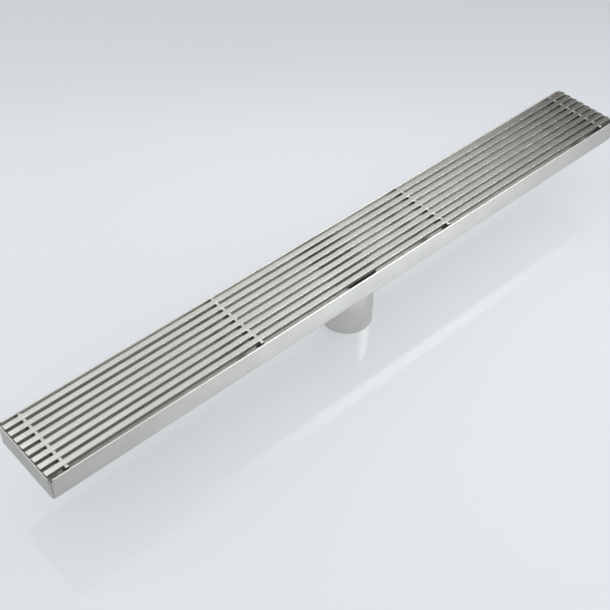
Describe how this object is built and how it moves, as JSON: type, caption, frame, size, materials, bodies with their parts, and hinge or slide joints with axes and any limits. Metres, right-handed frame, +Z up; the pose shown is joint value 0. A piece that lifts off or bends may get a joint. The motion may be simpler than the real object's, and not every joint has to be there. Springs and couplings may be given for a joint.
{
  "type": "linear floor drain",
  "caption": "Linear shower floor drain: folded stainless channel with a round outlet, a lift-out bar grate and a drop-in sprung odour trap with a hair strainer.",
  "frame": {"origin": "centre of the outlet pipe's lower end, on the drain's upright centre line", "axes": "+X along the channel, +Y across it, +Z up towards the grate"},
  "size_m": [0.616, 0.0668, 0.076],
  "materials": {
    "bar_steel": "satin, fine grain along the bar",
    "cross_bar_steel": "satin",
    "channel_steel": "satin, grain along the channel",
    "pipe_steel": "satin, turned",
    "weld_metal": "weld bead, pickled",
    "stem_steel": "drawn wire",
    "trap_plastic": "moulded, fine texture",
    "seal_rubber": "soft moulded rubber"
  },
  "bodies": {
    "channel": {"channel_trough": "channel_steel", "end_cap_left": "channel_steel", "end_cap_right": "channel_steel", "outlet_pipe": "pipe_steel", "outlet_weld": "weld_metal", "grate_rest_front_1": "channel_steel", "grate_rest_front_2": "channel_steel", "grate_rest_front_3": "channel_steel", "grate_rest_front_4": "channel_steel", "grate_rest_back_1": "channel_steel", "grate_rest_back_2": "channel_steel", "grate_rest_back_3": "channel_steel", "grate_rest_back_4": "channel_steel"},
    "grate": {"grate_bar_1": "bar_steel", "grate_bar_2": "bar_steel", "grate_bar_3": "bar_steel", "grate_bar_4": "bar_steel", "grate_bar_5": "bar_steel", "grate_bar_6": "bar_steel", "grate_bar_7": "bar_steel", "grate_bar_8": "bar_steel", "cross_bar_1": "cross_bar_steel", "cross_bar_2": "cross_bar_steel", "cross_bar_3": "cross_bar_steel", "cross_bar_4": "cross_bar_steel"},
    "trap_insert": {"trap_sleeve": "trap_plastic", "trap_seal": "seal_rubber", "stem_guide": "trap_plastic", "return_spring": "stem_steel"},
    "strainer": {"hair_strainer": "trap_plastic"},
    "valve": {"valve_stem": "stem_steel", "valve_disc": "trap_plastic", "valve_gasket": "seal_rubber", "spring_cap": "trap_plastic"}
  },
  "joints": [
    {"name": "grate_lift", "type": "slide", "parent": "channel", "child": "grate", "axis": [0, 0, 1], "range_m": [0, 0.1]},
    {"name": "trap_lift", "type": "slide", "parent": "channel", "child": "trap_insert", "axis": [0, 0, 1], "range_m": [0, 0.007]},
    {"name": "strainer_lift", "type": "slide", "parent": "trap_insert", "child": "strainer", "axis": [0, 0, 1], "range_m": [0, 0.005]},
    {"name": "valve_open", "type": "slide", "parent": "trap_insert", "child": "valve", "axis": [0, 0, -1], "range_m": [0, 0.006], "stiffness_N_per_m": 150, "springref_m": -0.004, "deforming": ["return_spring"]}
  ]
}
